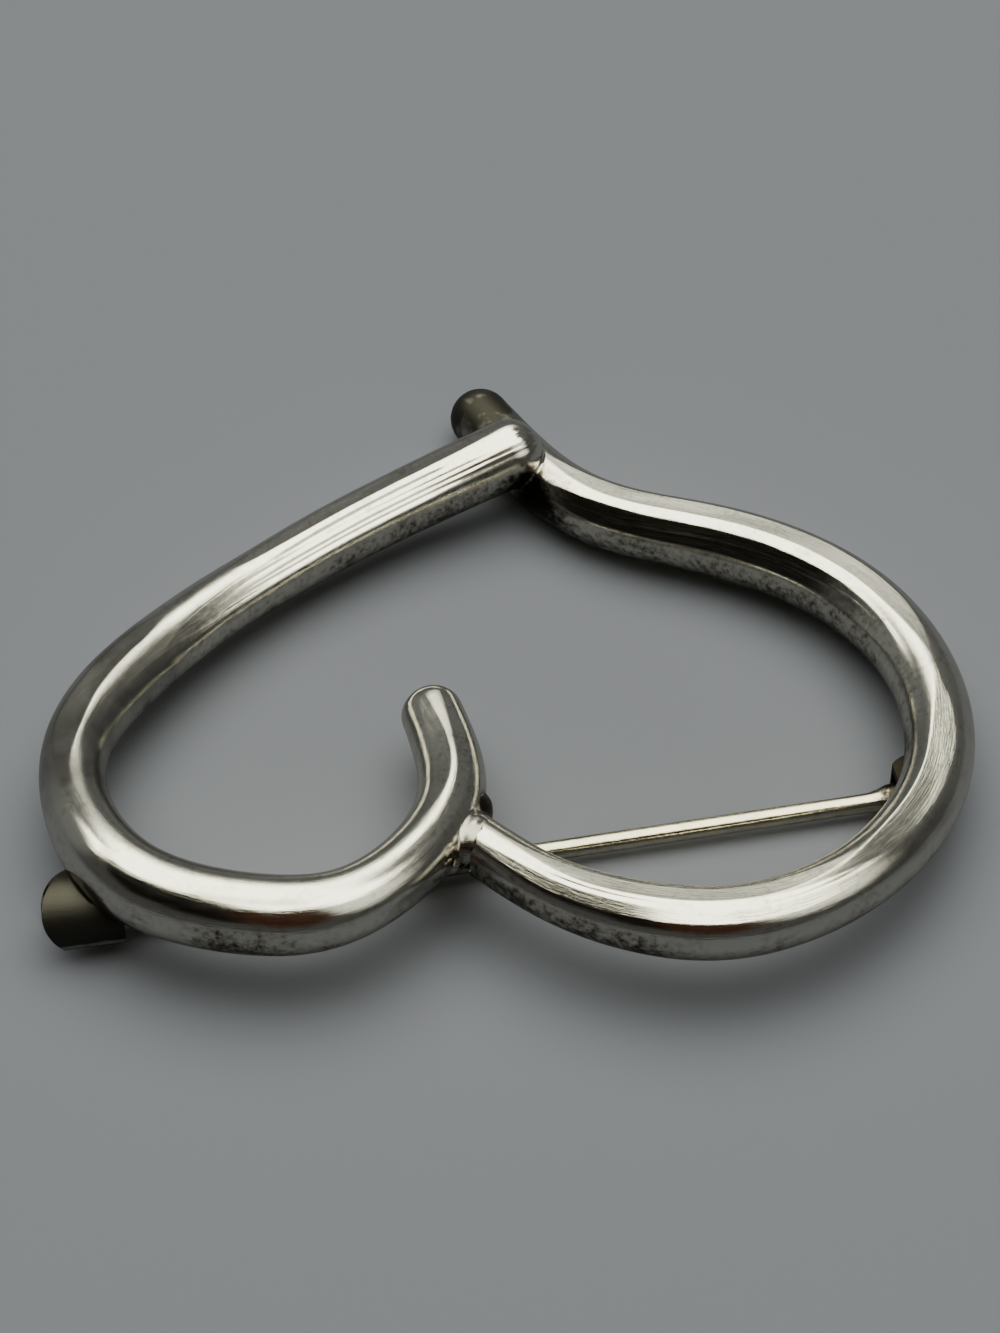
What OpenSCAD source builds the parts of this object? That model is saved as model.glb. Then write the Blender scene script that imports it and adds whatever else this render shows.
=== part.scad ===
// Open heart brooch of two tapered silver wires, lying on its back with the pin closed.
// Seen from the front (-Y) the heart stands on its head: the lobes are near, the tip is far.
// Millimetres. Z = 0 is the surface that the brooch lies on.

/* [Heart] */
// Angle by which the heart leans, high at the lobes and low at the tip
lean = 4.5; // [4:0.25:4.75]
// Thickness of both wires, as a share of the diameters in their tables
gauge = 1; // [0.95:0.01:1.05]
// Rings swept for each row of a wire's table
ring_steps = 6; // [4:1:8]
// Flats around a wire
ring_sides = 20; // [14:2:24]

/* [Pin stem] */
// Diameter of the stem
stem_d = 1.1; // [0.9:0.05:1.15]
// Height of the stem's axis above the surface
stem_z = 1.05; // [1:0.05:1.1]
// Length of the stem from the rivet to its point
stem_l = 48.3; // [47.5:0.1:48.5]
// Length of the ground point
point_l = 5; // [4:0.5:8]
// Radius at which the point is blunted
point_r = 0.1; // [0.08:0.01:0.15]

/* [Hinge] */
// Place of the rivet to the right
hinge_x = 22.9; // [22.5:0.1:23.3]
// Place of the rivet away from the front
hinge_y = -8.6; // [-9.2:0.1:-8]
// Diameter of the rivet
rivet_d = 0.6; // [0.5:0.05:0.65]
// Gap around the rivet in the turning eye
run_gap = 0.05; // [0.03:0.01:0.08]
// Gap around the rivet in the still ears, and under its heads
still_gap = 0.02; // [0.01:0.01:0.04]
// Outer diameter of the stem's eye
eye_d = 1.9; // [1.7:0.05:1.95]
// Length of the eye along the rivet
eye_w = 2; // [1.6:0.1:2.1]
// Length of the stem's thick head from the rivet
head_l = 1.8; // [1.5:0.1:2]
// Length of the cone where the head narrows to the stem
neck_l = 0.7; // [0.5:0.1:1.2]
// Gap between the eye and each ear
side_gap = 0.05; // [0.03:0.01:0.1]
// Thickness of an ear
ear_t = 0.65; // [0.5:0.05:0.8]
// Length of the bracket along the stem
bracket_l = 2.6; // [2.4:0.1:3]
// Thickness of the bracket's plate, soldered under the right wire
plate_t = 0.5; // [0.4:0.05:0.7]
// Gap between the eye and the plate
plate_gap = 0.15; // [0.1:0.01:0.2]
// Diameter of the rivet's flat heads
rivet_head_d = 1; // [0.9:0.05:1.1]
// Thickness of the rivet's flat heads
rivet_head_t = 0.25; // [0.2:0.05:0.3]

/* [Catch] */
// Place of the catch's middle to the right
catch_x = -23.1; // [-23.4:0.1:-22.8]
// Place of the catch's middle away from the front
catch_y = -17.7; // [-18:0.1:-17.4]
// Outer diameter of the curled strip
catch_d = 4.5; // [4.3:0.1:4.6]
// Thickness of the strip
strip_t = 0.6; // [0.5:0.05:0.7]
// Width of the strip at its widest
strip_w = 4.3; // [4:0.1:4.6]
// Diameter of the round that the strip's free side is cut to
trim_d = 4.8; // [4.6:0.1:5]
// Edge of the mouth under the stem, as an angle from straight down
mouth_low = -25; // [-30:1:-20]
// Edge of the mouth behind the stem, as an angle from straight down
mouth_high = 75; // [65:1:85]

/* [Hidden] */
$fn = 64;

// Columns of a wire's table. The smooth curve is drawn by these points, and runs close inside them.
X = 0; // to the right
Y = 1; // away from the front
RISE = 2; // above the leaning plane of the heart
DIA = 3; // thickness of the wire

// Left wire: from its free curled end, round the left lobe, up to its end on top of the tip
left_wire = [
    [ -4.3,  -5.1, 0.0, 3.5],
    [ -2.1, -12.5, 0.0, 3.9],
    [ -6.8, -19.3, 0.0, 3.6],
    [-11.0, -21.1, 0.0, 4.4],
    [-17.0, -20.1, 0.0, 4.4],
    [-21.7, -17.6, 0.0, 4.4],
    [-24.8, -10.0, 0.0, 3.3],
    [-23.1,  -3.7, 0.0, 4.5],
    [-18.5,   2.5, 0.0, 4.1],
    [-14.5,   6.5, 0.0, 3.7],
    [ -9.5,  10.5, 0.5, 3.9],
    [ -5.0,  13.4, 1.0, 4.0],
    [  0.0,  15.9, 2.0, 4.2]
];

// Right wire: from its cut end on the curl, round the right lobe, under the tip to its tail
right_wire = [
    [ -3.1, -14.0, 0.0, 3.1],
    [  2.0, -19.0, 0.0, 3.3],
    [  7.0, -21.0, 0.0, 3.9],
    [ 11.5, -21.5, 0.0, 4.0],
    [ 16.0, -20.0, 0.0, 3.8],
    [ 20.5, -16.5, 0.0, 3.7],
    [ 24.0, -10.5, 0.0, 3.8],
    [ 24.2,  -2.8, 0.0, 4.0],
    [ 21.5,   3.6, 0.0, 4.3],
    [ 17.3,   7.7, 0.0, 4.4],
    [ 12.1,  10.3, 0.0, 4.3],
    [  7.0,  11.5, 0.0, 4.0],
    [  2.5,  14.4, 0.0, 3.9],
    [ -1.7,  21.7, 0.0, 3.7]
];

// Height of a wire's axis where its rise is zero: the tail's end lies on the surface
tail = right_wire[len(right_wire) - 1];
function plane_z(y) = gauge * tail[DIA] / 2 + (tail[Y] - y) * tan(lean);

// Cubic spline through a table's rows, with a straight run added at each end
function weights(t) = [
    pow(1 - t, 3) / 6,
    (3 * pow(t, 3) - 6 * t * t + 4) / 6,
    (-3 * pow(t, 3) + 3 * t * t + 3 * t + 1) / 6,
    pow(t, 3) / 6
];
function with_ends(rows) = let (n = len(rows))
    concat([2 * rows[0] - rows[1]], rows, [2 * rows[n - 1] - rows[n - 2]]);
function blend(rows, i, t) = weights(t) * [for (k = [0:3]) rows[i + k]];
function smooth(rows, steps) = let (all = with_ends(rows), spans = len(rows) - 1)
    [for (i = [0:spans * steps]) let (span = min(floor(i / steps), spans - 1))
        blend(all, span, i / steps - span)];

// Axis of a wire in space
function axis_point(row) = [row[X], row[Y], plane_z(row[Y]) + row[RISE]];
function unit(v) = v / norm(v);
function heading(pts, i) = unit(pts[min(i + 1, len(pts) - 1)] - pts[max(i - 1, 0)]);

// Stations of a wire, each [centre, direction, radius]. A dome runs out from an end in the
// direction out: full = 1 is a half ball, 0 a flat cut.
function stations(path, pts) = [for (i = [0:len(path) - 1])
    [pts[i], heading(pts, i), gauge * path[i][DIA] / 2]];
dome_angles = [25, 50, 70, 85];
function dome(end, out, full) = full == 0 ? [] : [for (a = dome_angles)
    [end[0] + out * end[2] * full * sin(a), end[1], end[2] * cos(a)]];
function turned(list) = [for (i = [len(list) - 1:-1:0]) list[i]];

// A ring of points round a station, square to its direction
function ring(station) =
    let (d = station[1], side = unit(cross([0, 0, 1], d)), up = cross(d, side))
    [for (k = [0:ring_sides - 1]) let (a = 360 * k / ring_sides)
        station[0] + station[2] * (cos(a) * side + sin(a) * up)];

// Sweeps a wire along its table, with a dome of the given fullness at its start and end
module wire(rows, start_full, end_full) {
    path = smooth(rows, ring_steps);
    body = stations(path, [for (row = path) axis_point(row)]);
    first = body[0];
    last = body[len(body) - 1];
    all = concat(turned(dome(first, -first[1], start_full)), body, dome(last, last[1], end_full));
    n = ring_sides;
    top = len(all) - 1;
    walls = [for (i = [0:top - 1], k = [0:n - 1])
        let (a = i * n + k, b = i * n + (k + 1) % n, c = a + n, d = b + n)
        each [[a, c, b], [b, c, d]]];
    ends = [[for (k = [0:n - 1]) k], [for (k = [n - 1:-1:0]) top * n + k]];
    polyhedron([for (station = all) each ring(station)], concat(walls, ends), convexity = 10);
}

// Frame of the stem: origin at the rivet, +X along the stem to its point
stem_angle = atan2(catch_y - hinge_y, catch_x - hinge_x);
module at_stem() {
    translate([hinge_x, hinge_y, stem_z]) rotate([0, 0, stem_angle]) children();
}
module along_rivet(d, l) {
    rotate([90, 0, 0]) cylinder(d = d, h = l, center = true);
}

// Hinge bracket: a plate under the right wire, with two ears that reach the surface
ear_gap = eye_w + 2 * side_gap;
bracket_w = ear_gap + 2 * ear_t;
plate_low = eye_d / 2 + plate_gap;
module bracket() {
    at_stem() difference() {
        union() {
            translate([-bracket_l / 2, -bracket_w / 2, plate_low])
                cube([bracket_l, bracket_w, plate_t]);
            for (side = [-1, 1]) translate([0, side * (ear_gap + ear_t) / 2, 0]) {
                along_rivet(2 * stem_z, ear_t);
                translate([-bracket_l / 2, -ear_t / 2, 0])
                    cube([bracket_l, ear_t, plate_low + plate_t / 2]);
            }
        }
        along_rivet(rivet_d + 2 * still_gap, 2 * bracket_w);
    }
}

// Catch: a strip curled about the stem's line, its closed side to the front. The lip under the
// stem touches the surface.
catch_z = catch_d / 2 * cos(mouth_low);
module mouth_wedge() {
    far = catch_d;
    middle = (mouth_low + mouth_high) / 2;
    polygon([[0, 0], for (a = [mouth_low, middle, mouth_high]) far * [sin(a), -cos(a)]]);
}
module catch_outline() {
    r = trim_d / 2;
    translate([r - strip_w / 2, 0]) {
        circle(r = r);
        translate([0, -r]) square([strip_w, trim_d]);
    }
}
module catch() {
    translate([catch_x, catch_y, catch_z]) rotate([0, 0, stem_angle + 180])
        intersection() {
            rotate([90, 0, 90]) linear_extrude(strip_w, center = true) difference() {
                circle(d = catch_d);
                circle(d = catch_d - 2 * strip_t);
                mouth_wedge();
            }
            rotate([45, 0, 0]) linear_extrude(4 * catch_d, center = true) catch_outline();
        }
}

// Both wires, the bracket and the catch are soldered together
module heart_frame() {
    color("silver") union() {
        wire(left_wire, 0.85, 1);
        wire(right_wire, 0, 1);
        bracket();
        catch();
    }
}

// Rivet with two flat heads, still in the ears
module hinge_rivet() {
    shank = bracket_w + 2 * still_gap;
    color("gainsboro") at_stem() {
        along_rivet(rivet_d, shank + 2 * rivet_head_t);
        for (side = [-1, 1]) translate([0, side * (shank + rivet_head_t) / 2, 0])
            along_rivet(rivet_head_d, rivet_head_t);
    }
}

// Stem with its eye, turning on the rivet
module pin_stem() {
    shaft_l = stem_l - point_l - point_r;
    color("lightgoldenrodyellow") at_stem() difference() {
        union() {
            along_rivet(eye_d, eye_w);
            rotate([0, 90, 0]) {
                cylinder(d = stem_d, h = shaft_l);
                cylinder(d = eye_d, h = head_l);
                translate([0, 0, head_l]) cylinder(d1 = eye_d, d2 = stem_d, h = neck_l);
            }
            translate([shaft_l, 0, 0]) {
                rotate([0, 90, 0]) cylinder(d1 = stem_d, d2 = 2 * point_r, h = point_l);
                translate([point_l, 0, 0]) sphere(r = point_r);
            }
        }
        along_rivet(rivet_d + 2 * run_gap, 2 * eye_w);
    }
}

heart_frame();
hinge_rivet();
pin_stem();
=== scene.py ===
# %% [markdown]
# An open heart brooch of two silver wires
#
# The brooch is an outline of a heart, bent from two thick silver wires and soldered where they
# meet. It lies on its back, so the pin stem behind it shows through the right lobe. Seen from the
# front the heart stands on its head: the lobes are near and the tip is far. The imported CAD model
# gives the places and sizes. It could be shown as it is, but it is plain and its walls are faceted,
# so this script makes the smooth, worn metal that stands for it.

# %% Load the frame
import math
import bpy
import numpy as np
from mathutils import Matrix, Vector, noise


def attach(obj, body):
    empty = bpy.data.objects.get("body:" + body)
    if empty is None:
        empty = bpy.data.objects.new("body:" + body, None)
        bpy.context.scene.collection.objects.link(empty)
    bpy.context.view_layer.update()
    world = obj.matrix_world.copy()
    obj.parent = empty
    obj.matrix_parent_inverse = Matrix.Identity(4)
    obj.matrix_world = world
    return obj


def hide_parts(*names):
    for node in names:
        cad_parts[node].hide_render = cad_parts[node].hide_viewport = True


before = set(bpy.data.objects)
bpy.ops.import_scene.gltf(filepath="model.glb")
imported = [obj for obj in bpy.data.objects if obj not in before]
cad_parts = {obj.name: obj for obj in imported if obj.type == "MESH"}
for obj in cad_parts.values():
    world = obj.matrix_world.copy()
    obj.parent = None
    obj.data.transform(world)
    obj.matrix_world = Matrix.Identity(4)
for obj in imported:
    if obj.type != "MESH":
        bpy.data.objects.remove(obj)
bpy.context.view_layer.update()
MM = 0.001

# %% [markdown]
# Camera
#
# The picture was taken from straight in front, a little steeper than halfway up, and from close by,
# so the near lobes look larger than the tip. An orthographic camera would show both in one scale,
# so this is a perspective one, 200 mm away, with a lens that fills the frame with the heart. The
# camera is made first, because every later step is judged through it.

# %% Camera
AIM = Vector((-0.5, -0.5, 3.0)) * MM
DISTANCE = 200 * MM
ELEVATION = math.radians(46.5)
LENS = 94.5
NEAREST_SEEN = 10 * MM

bpy.ops.object.select_all(action="DESELECT")
back = Vector((0, -math.cos(ELEVATION), math.sin(ELEVATION)))
bpy.ops.object.camera_add(location=AIM + DISTANCE * back, rotation=(math.pi / 2 - ELEVATION, 0, 0))
camera = bpy.context.active_object
camera.name = "camera"
camera.data.lens = LENS
camera.data.clip_start = NEAREST_SEEN
bpy.context.scene.camera = camera
print("camera at", [round(c / MM, 1) for c in camera.location], "mm")

# %% [markdown]
# Floor, light and surroundings
#
# Polished silver has almost no look of its own: it shows what is around it. Lamps would show in it
# as small hard spots, so what the metal mirrors is painted on the world instead, patch by patch,
# each a soft round in some direction. Bright patches overhead give the broad cream band along the
# top of each wire, and dark patches on the camera's side draw the black band under it. The floor
# shows as the grey band along the foot of the wire. There its grey is painted shade: the metal's
# mirror rays see the floor darker than it looks from above, standing in for the shade that the wire
# casts on what it mirrors. One area light, for the floor only, gives the shadow.

# %% Lay the floor
# Sizes are in metres. The second grey is painted shade: the floor as the metal mirrors it, darker
FLOOR_SIZE = 3.0
FLOOR_GREY = (0.49, 0.515, 0.53, 1)
FLOOR_SHADE_IN_METAL = (0.29, 0.30, 0.295, 1)
FLOOR_ROUGHNESS = 0.6


def node(tree, kind, inputs=(), **settings):
    """Adds a shader node, sets its settings, and fills or links its inputs by name."""
    made = tree.nodes.new(kind)
    for key, value in settings.items():
        setattr(made, key, value)
    for key, value in dict(inputs).items():
        named = [s for s in made.inputs if s.enabled and s.name == key]
        socket = named[0] if named else made.inputs[key]
        if isinstance(value, bpy.types.NodeSocket):
            tree.links.new(value, socket)
        else:
            socket.default_value = value
    return made


def result(made):
    """The first output that the node's settings leave in use."""
    return next(s for s in made.outputs if s.enabled)


def new_material(name):
    """A new material with only a Principled BSDF, and its tree."""
    material = bpy.data.materials.new(name)
    material.use_nodes = True
    return material, material.node_tree, material.node_tree.nodes["Principled BSDF"]


def add_floor():
    """A wide matt plane that isn't part of the brooch."""
    bpy.ops.mesh.primitive_plane_add(size=FLOOR_SIZE, location=(0, 0, 0))
    floor = bpy.context.active_object
    floor.name = "floor"
    material, tree, shader = new_material("pale floor")
    # The metal's mirror rays see the floor in the darker grey, as painted shade
    mirrored = node(tree, "ShaderNodeLightPath").outputs["Is Glossy Ray"]
    seen = node(tree, "ShaderNodeMix", {
        "Factor": mirrored, "A": FLOOR_GREY, "B": FLOOR_SHADE_IN_METAL}, data_type="RGBA")
    tree.links.new(result(seen), shader.inputs["Base Color"])
    shader.inputs["Roughness"].default_value = FLOOR_ROUGHNESS
    shader.inputs["Specular IOR Level"].default_value = 0
    floor.data.materials.append(material)


add_floor()
print("floor of", FLOOR_SIZE, "m")

# %% Light the floor
# Place and width are in metres. The rim is the share of the width over which the light fades out
FLOOR_LIGHT_AT = (0.0, 0.3, 1.20)
FLOOR_LIGHT_SIZE = 2.6
FLOOR_LIGHT_RADIANCE = 1.45
RIM = 0.3


def add_floor_light():
    """A wide light that only the floor sees, softer towards its rim."""
    bpy.ops.object.light_add(type="AREA", location=FLOOR_LIGHT_AT)
    light = bpy.context.active_object
    light.name = "light on the floor"
    light.data.shape = "DISK"
    light.data.size = FLOOR_LIGHT_SIZE
    light.data.energy = FLOOR_LIGHT_RADIANCE * (math.pi * FLOOR_LIGHT_SIZE / 2) ** 2
    light.visible_camera = False
    light.visible_glossy = False
    light.data.use_nodes = True
    tree = light.data.node_tree
    across = node(tree, "ShaderNodeNewGeometry").outputs["Parametric"]
    from_middle = node(tree, "ShaderNodeVectorMath", {0: across, 1: (0.5, 0.5, 0.0)},
                       operation="DISTANCE")
    soft = node(tree, "ShaderNodeMapRange", {
        "Value": from_middle.outputs["Value"], "From Min": 0.5, "From Max": 0.5 - RIM},
        interpolation_type="SMOOTHSTEP")
    tree.links.new(soft.outputs["Result"], tree.nodes["Emission"].inputs["Strength"])


add_floor_light()
print("floor light", FLOOR_LIGHT_SIZE, "m wide")

# %% Paint what the metal mirrors
NEAR_GREY = (0.065, 0.065, 0.060, 1)
FAR_GREY = (0.12, 0.122, 0.118, 1)
BLACK = (0.006, 0.005, 0.004, 1)
BROWN = (0.045, 0.018, 0.010, 1)
DIM = (0.17, 0.175, 0.165, 1)
GLOW = (0.27, 0.28, 0.26, 1)
HALF = (1.30, 1.30, 1.05, 1)
DUSK = (0.13, 0.132, 0.125, 1)
LAMP = (5.4, 5.3, 4.1, 1)
# Azimuth (0 is right, 90 is far), angle from straight up, radius and softness in degrees, colour.
# They are painted in this order, so a later one covers an earlier one
PATCHES = [
    (85, 30, 14, 34, GLOW),
    (335, 48, 12, 14, HALF),
    (12, 16, 20, 6, LAMP),
    (82, 52, 9, 10, HALF),
    (82, 27, 19, 14, LAMP),
    (148, 20, 16, 6, LAMP),
    (150, 50, 8, 8, LAMP),
    (262, 7, 19, 5, LAMP),
    (54, 51, 15, 7, DUSK),
    (42, 40, 9, 6, DUSK),
    (150, 74, 15, 12, DIM),
    (212, 44, 21, 5, BLACK),
    (245, 49, 19, 6, BLACK),
    (278, 52, 18, 9, BROWN),
]


def paint_surroundings():
    """A grey world, lighter at the far side, with the patches painted on it in order."""
    world = bpy.data.worlds.new("grey surroundings")
    bpy.context.scene.world = world
    world.cycles_visibility.diffuse = False
    world.use_nodes = True
    tree = world.node_tree
    where = node(tree, "ShaderNodeTexCoord").outputs["Generated"]
    away = node(tree, "ShaderNodeSeparateXYZ", {"Vector": where}).outputs["Y"]
    colour = result(node(tree, "ShaderNodeMix", {
        "Factor": away, "A": NEAR_GREY, "B": FAR_GREY}, data_type="RGBA"))
    for azimuth, tilt, radius, softness, paint in PATCHES:
        azimuth, tilt = math.radians(azimuth), math.radians(tilt)
        middle = (math.cos(azimuth) * math.sin(tilt), math.sin(azimuth) * math.sin(tilt),
                  math.cos(tilt))
        facing = node(tree, "ShaderNodeVectorMath", {0: where, 1: middle}, operation="DOT_PRODUCT")
        share = node(tree, "ShaderNodeMapRange", {
            "Value": facing.outputs["Value"],
            "From Min": math.cos(math.radians(radius + softness)),
            "From Max": math.cos(math.radians(radius))}, interpolation_type="SMOOTHSTEP")
        colour = result(node(tree, "ShaderNodeMix", {
            "Factor": share.outputs["Result"], "A": colour, "B": paint}, data_type="RGBA"))
    tree.links.new(colour, tree.nodes["Background"].inputs["Color"])


paint_surroundings()
print(len(PATCHES), "patches of light and dark round the brooch")

# %% [markdown]
# The two wires
#
# Each wire is a rod of about 4 mm that was hammered and bent by hand, so its thickness changes
# along the way. A circle could be extruded along it step by step, but a NURBS path with a round
# bevel bends more evenly. Its points carry a place and a radius, and these are the points of the
# CAD wires, so the curve is the same one. The path is then made a mesh, because the ends have to
# be rounded and the surface has to be worked over.

# %% Tables of the wires, in millimetres: right, back, rise above the leaning plane, thickness
LEAN = math.radians(4.5)
LEFT_WIRE = [
    (-4.3, -5.1, 0.0, 3.5),
    (-2.1, -12.5, 0.0, 3.9),
    (-6.8, -19.3, 0.0, 3.6),
    (-11.0, -21.1, 0.0, 4.4),
    (-17.0, -20.1, 0.0, 4.4),
    (-21.7, -17.6, 0.0, 4.4),
    (-24.8, -10.0, 0.0, 3.3),
    (-23.1, -3.7, 0.0, 4.5),
    (-18.5, 2.5, 0.0, 4.1),
    (-14.5, 6.5, 0.0, 3.7),
    (-9.5, 10.5, 0.5, 3.9),
    (-5.0, 13.4, 1.0, 4.0),
    (0.0, 15.9, 2.0, 4.2),
]
RIGHT_WIRE = [
    (-3.1, -14.0, 0.0, 3.1),
    (2.0, -19.0, 0.0, 3.3),
    (7.0, -21.0, 0.0, 3.9),
    (11.5, -21.5, 0.0, 4.0),
    (16.0, -20.0, 0.0, 3.8),
    (20.5, -16.5, 0.0, 3.7),
    (24.0, -10.5, 0.0, 3.8),
    (24.2, -2.8, 0.0, 4.0),
    (21.5, 3.6, 0.0, 4.3),
    (17.3, 7.7, 0.0, 4.4),
    (12.1, 10.3, 0.0, 4.3),
    (7.0, 11.5, 0.0, 4.0),
    (2.5, 14.4, 0.0, 3.9),
    (-1.7, 21.7, 0.0, 3.7),
]
TAIL_Y, TAIL_D = RIGHT_WIRE[-1][1], RIGHT_WIRE[-1][3]
print(len(LEFT_WIRE), "points of the left wire and", len(RIGHT_WIRE), "of the right")

# %% Bend the wires
RINGS_PER_ROW = 20
SIDES = 160
CURVE_ORDER = 4


def placed(row):
    """A row of a wire's table as a point in millimetres and a radius."""
    right, away, rise, thick = row
    height = TAIL_D / 2 + (TAIL_Y - away) * math.tan(LEAN) + rise
    return np.array((right, away, height, thick / 2))


def bend_wire(name, rows):
    """A NURBS path through a wire's points with a round section, made a mesh of rings."""
    points = [placed(row) for row in rows]
    points = [2 * points[0] - points[1], *points, 2 * points[-1] - points[-2]]
    bpy.ops.object.select_all(action="DESELECT")
    bpy.ops.curve.primitive_bezier_circle_add(radius=MM, location=(0, 0, 0))
    section = bpy.context.active_object
    section.data.resolution_u = SIDES // 4
    bpy.ops.object.select_all(action="DESELECT")
    bpy.ops.curve.primitive_nurbs_path_add(location=(0, 0, 0))
    wire = bpy.context.active_object
    wire.name = name
    path = wire.data.splines[0]
    path.points.add(len(points) - len(path.points))
    for point, (x, y, z, radius) in zip(path.points, points):
        point.co = (x * MM, y * MM, z * MM, 1)
        point.radius = radius
    path.use_endpoint_u = False
    path.order_u = CURVE_ORDER
    path.resolution_u = RINGS_PER_ROW
    wire.data.twist_mode = "Z_UP"
    wire.data.bevel_mode = "OBJECT"
    wire.data.bevel_object = section
    bpy.ops.object.convert(target="MESH")
    bpy.data.objects.remove(section)
    return bpy.context.active_object


left_wire = bend_wire("left_wire", LEFT_WIRE)
right_wire = bend_wire("right_wire", RIGHT_WIRE)
for wire in (left_wire, right_wire):
    print(wire.name, len(wire.data.vertices), "points", wire.data.uv_layers.keys())

# %% [markdown]
# Hammer marks, flats and grooves
#
# The wires were hammered over their length, so their thickness wavers a little and the section is
# taller or flatter in places. Long narrow flats and drawn lines run along them. They could be
# sculpted, but as formulas each mark is a row in a table that is easy to move or deepen. A flat is
# cut by a plane beside the wire's axis: every point of a ring that stands further out than the
# plane is brought back to it. A groove is a narrow dip that may wander about the wire, or a low
# ridge where its depth is negative. Flats and grooves fade in and out at their two ends.

# %% Places of the marks
# From, to (millimetres along the wire), angle (0 is up, degrees towards the right-hand side when
# looking along the wire), depth (millimetres)
LEFT_FLATS = [
    (-1, 11, -19, 0.10),
    (-1, 9, 22, 0.05),
    (36, 54, 14, 0.26),
    (46, 75, -33, 0.14),
    (52, 77, 14, 0.06),
]
RIGHT_FLATS = [
    (2, 26, -30, 0.05),
    (4, 25, 12, 0.08),
    (23, 41, -3, 0.16),
    (42, 72, -9, 0.11),
    (42, 72, 46, 0.09),
]
# Place along the wire in millimetres, and how tall the section is for its width there
LEFT_HEIGHTS = [(0, 1), (26, 1), (33, 1.14), (43, 0.84), (49, 0.80), (60, 1)]
RIGHT_HEIGHTS = [(0, 1)]
# From, to (millimetres along the wire), angle at the start and at the end, and width (degrees),
# depth (millimetres)
LEFT_GROOVES = [
    (-2, 6, 0, 4, 9, 0.020),
    (43, 55, -33, -62, 3, -0.012),
    (43, 53, -26, -95, 5, 0.020),
    (50, 82, -49, -48, 3.6, 0.050),
    (54, 82, -41, -38, 2.8, 0.034),
    (54, 76, -27, -29, 2.8, 0.030),
    (57, 82, -20, -14, 5.0, 0.060),
]
RIGHT_GROOVES = [
    (3, 25, -13, -15, 3.4, 0.060),
    (44, 69, 40, 52, 2.8, -0.018),
]
print(len(LEFT_FLATS + RIGHT_FLATS), "flats and", len(LEFT_GROOVES + RIGHT_GROOVES), "grooves")


# %% Measure along the wires
def rings_of(wire):
    """The wire's points as rings: an array of rings, each of SIDES points."""
    points = np.array([v.co for v in wire.data.vertices])
    return points.reshape(-1, SIDES, 3)


def axis_of(wire):
    """Centres, directions, sideways and upward directions, and places along the wire in mm."""
    centres = rings_of(wire).mean(axis=1)
    along = np.gradient(centres, axis=0)
    along /= np.linalg.norm(along, axis=1)[:, None]
    sideways = np.cross((0, 0, 1), along)
    sideways /= np.linalg.norm(sideways, axis=1)[:, None]
    upward = np.cross(along, sideways)
    steps = np.linalg.norm(np.diff(centres, axis=0), axis=1)
    return centres, along, sideways, upward, np.r_[0, np.cumsum(steps)] / MM


def within(values, start, end, fade):
    """1 between start and end, fading to 0 towards both."""
    share = np.clip(np.minimum(values - start, end - values) / fade, 0, 1)
    return share ** 2 * (3 - 2 * share)


# The axes are kept from before the hammering, and the tarnish and painted shade are placed along
# them later
AXES = {wire.name: axis_of(wire) for wire in (left_wire, right_wire)}
print("rings of the wires:", {name: len(axis[0]) for name, axis in AXES.items()})

# %% Work the surface over
# Depth and length in millimetres, and fineness about the wire, of the hammering and of the finer
# unevenness on it
WAVES = [(0.035, 7.0, 1.0), (0.007, 2.4, 2.6)]
# Millimetres over which a flat or a groove fades in and out
FADE = 6.0
# Rings over which a change of the section's height is evened out
EASE = 31
# Only points that face a flat's plane by more than this cosine can be cut by it
LEAST_FACING = 0.3


def cut_flats(radius, angle, place, flats):
    """Brings back to each flat's plane what stands out beyond it."""
    for start, end, turn, depth in flats:
        inside = within(place, start, end, FADE)
        reach = radius.mean(axis=1) - depth * MM * inside
        facing = np.cos(angle - math.radians(turn))
        plane = reach[:, None] / np.maximum(facing, LEAST_FACING)
        plane = np.where(facing > LEAST_FACING, plane, np.inf)
        radius = np.where((inside > 0)[:, None] & (plane < radius), plane, radius)
    return radius


def press_grooves(radius, angle, place, grooves):
    """Lowers the surface along each groove."""
    for start, end, turn, end_turn, width, depth in grooves:
        inside = within(place, start, end, FADE)
        turns = turn + (end_turn - turn) * np.clip((place - start) / (end - start), 0, 1)
        off = (np.degrees(angle) - turns[:, None] + 180) % 360 - 180
        radius = radius - depth * MM * inside[:, None] * np.exp(-(off / width) ** 2)
    return radius


def add_waves(radius, angle, place, seed):
    """Lets the thickness waver smoothly, along and about the wire."""
    for ring, at in enumerate(place):
        for point in range(SIDES):
            turned = angle[ring, point]
            across = Vector((0, math.sin(turned), math.cos(turned)))
            for depth, length, fineness in WAVES:
                spot = across * fineness + Vector((at / length, seed, 0))
                radius[ring, point] += depth * MM * noise.noise(spot)
    return radius


def hammer(wire, heights, flats, grooves, seed):
    """Gives a wire its heights, flats, grooves and waves, as radii about its axis."""
    rings = rings_of(wire)
    centres, _, sideways, upward, place = axis_of(wire)
    out = rings - centres[:, None]
    side = np.einsum("rkc,rc->rk", out, sideways)
    up = np.einsum("rkc,rc->rk", out, upward)
    tall = np.interp(place, *zip(*heights))
    ease = np.hanning(EASE + 2)[1:-1]
    up *= np.convolve(np.pad(tall, EASE // 2, "edge"), ease / ease.sum(), "valid")[:, None]
    radius, angle = np.hypot(side, up), np.arctan2(side, up)
    radius = cut_flats(radius, angle, place, flats)
    radius = press_grooves(radius, angle, place, grooves)
    radius = add_waves(radius, angle, place, seed)
    side, up = radius * np.sin(angle), radius * np.cos(angle)
    moved = centres[:, None] + side[..., None] * sideways[:, None] + up[..., None] * upward[:, None]
    wire.data.vertices.foreach_set("co", moved.reshape(-1))
    wire.data.update()
    print(wire.name, round(float(place[-1]), 1), "mm long, hammered")


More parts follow.
